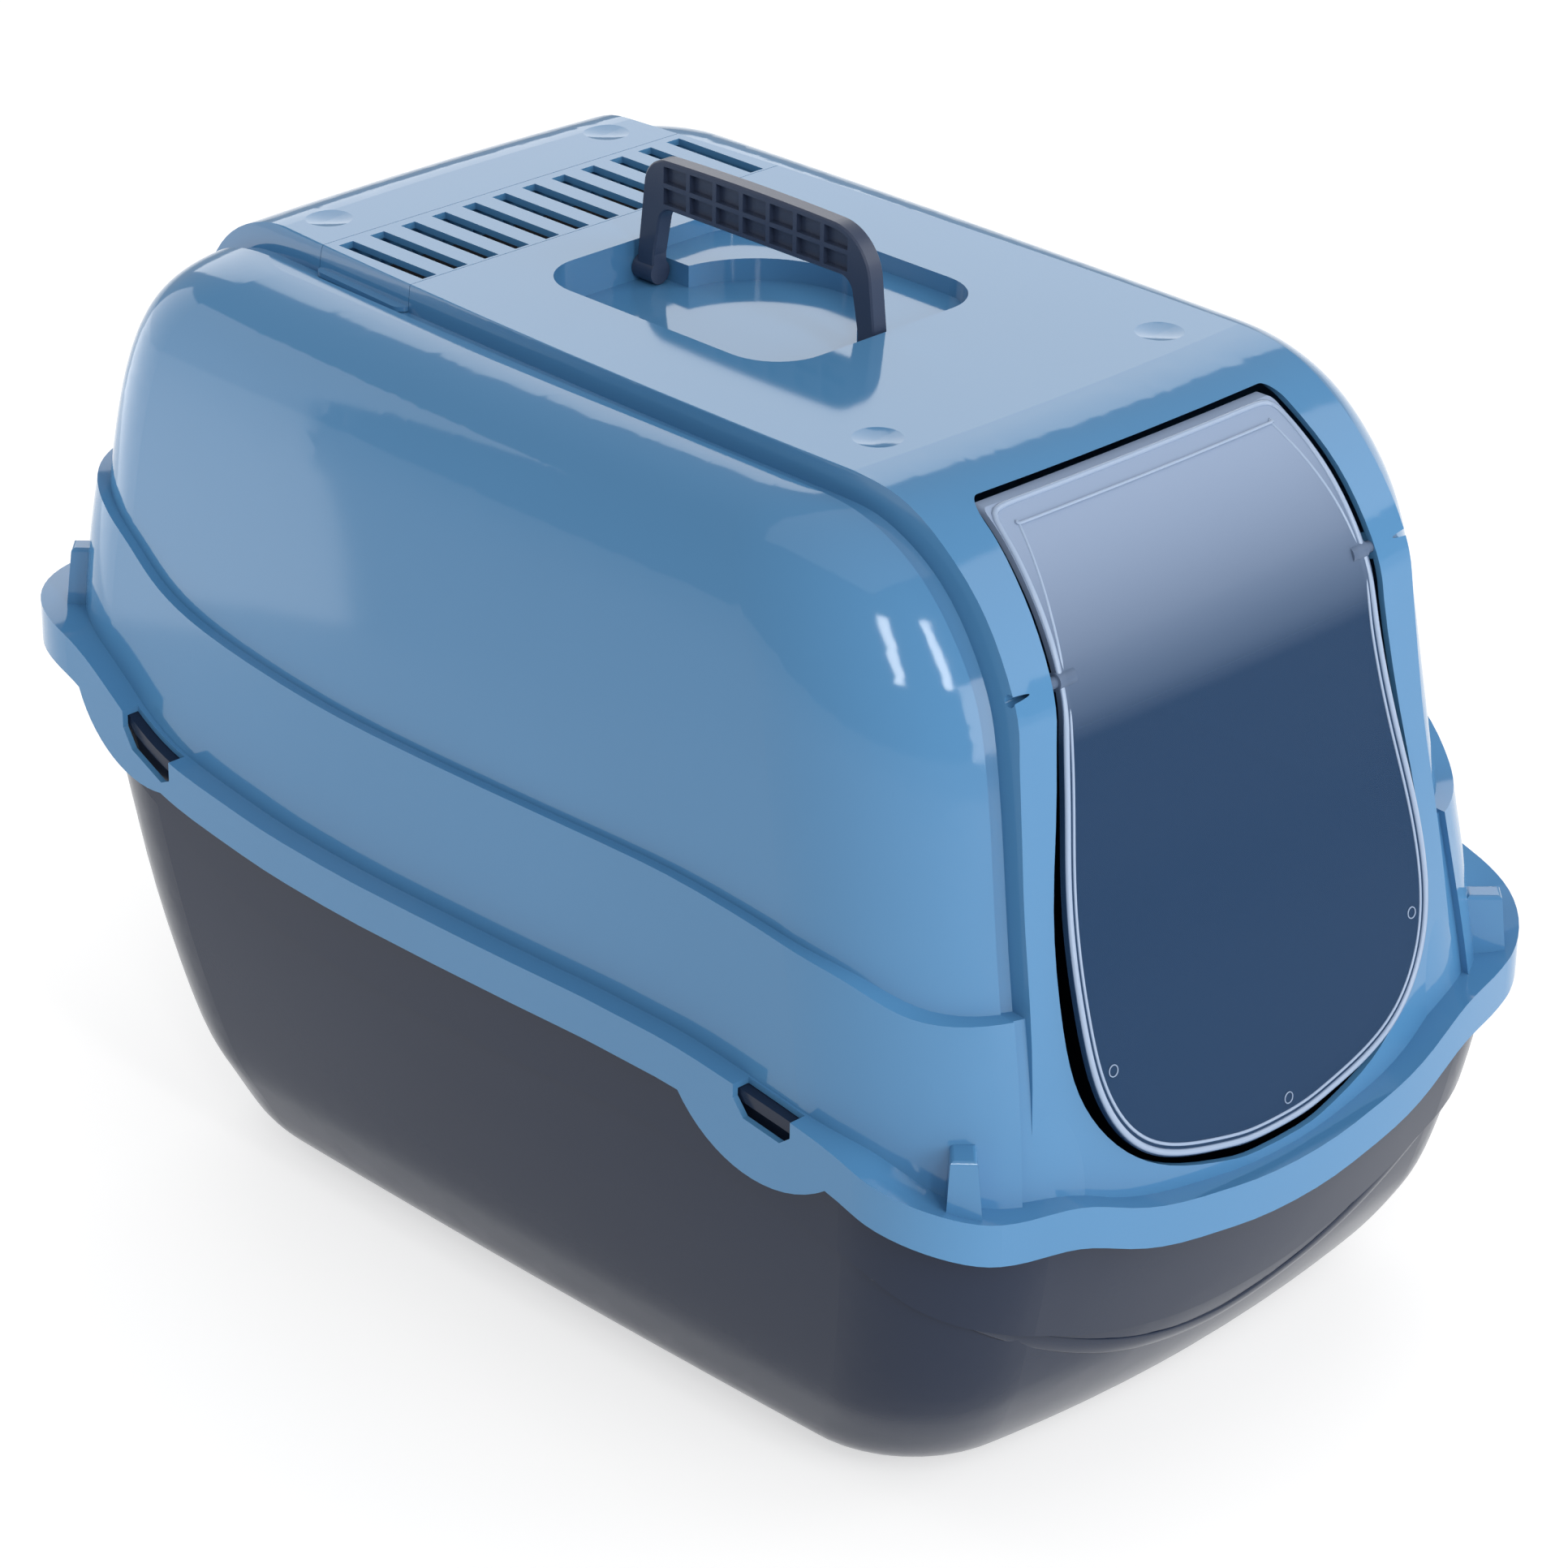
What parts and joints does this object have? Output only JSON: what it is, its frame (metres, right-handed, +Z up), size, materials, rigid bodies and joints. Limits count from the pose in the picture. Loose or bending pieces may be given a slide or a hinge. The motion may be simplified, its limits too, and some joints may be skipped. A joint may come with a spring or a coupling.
{
  "type": "hooded cat litter box",
  "caption": "Covered litter tray with lift-off hood, swing door flap, folding carry handle and slotted filter grille.",
  "frame": {"origin": "on the floor plane under the middle of the tray, the centre of the base's rest face", "axes": "+Z up, -Y out of the door at the front, +X to the right of someone at the back looking forward to the door, X across the width and Y along the length"},
  "size_m": [0.374, 0.5795, 0.4425],
  "materials": {
    "tray_plastic": "fine satin moulded charcoal",
    "hood_plastic": "smooth moulded blue",
    "flap_plastic": "smoky see-through",
    "handle_plastic": "dark navy satin",
    "grille_plastic": "smooth moulded blue",
    "filter_felt": "carbon felt"
  },
  "bodies": {
    "tray": {"tray": "tray_plastic"},
    "hood": {"hood": "hood_plastic", "carbon_filter": "filter_felt"},
    "entry_flap": {"entry_flap": "flap_plastic"},
    "carry_handle": {"carry_handle": "handle_plastic"},
    "vent_grille": {"vent_grille": "grille_plastic"}
  },
  "joints": [
    {"name": "hood_lift", "type": "slide", "parent": "tray", "child": "hood", "axis": [0, 0, 1], "range_m": [0, 0.25]},
    {"name": "flap_swing", "type": "hinge", "parent": "hood", "child": "entry_flap", "pos_m": [0, -0.2336, 0.339], "axis": [1, 0, 0], "range_deg": [-75, 75]},
    {"name": "handle_fold", "type": "hinge", "parent": "hood", "child": "carry_handle", "pos_m": [0, 0.01, 0.3912], "axis": [0, -1, 0], "range_deg": [0, 88]},
    {"name": "grille_lift", "type": "slide", "parent": "hood", "child": "vent_grille", "axis": [0, 0, 1], "range_m": [0, 0.06]}
  ]
}
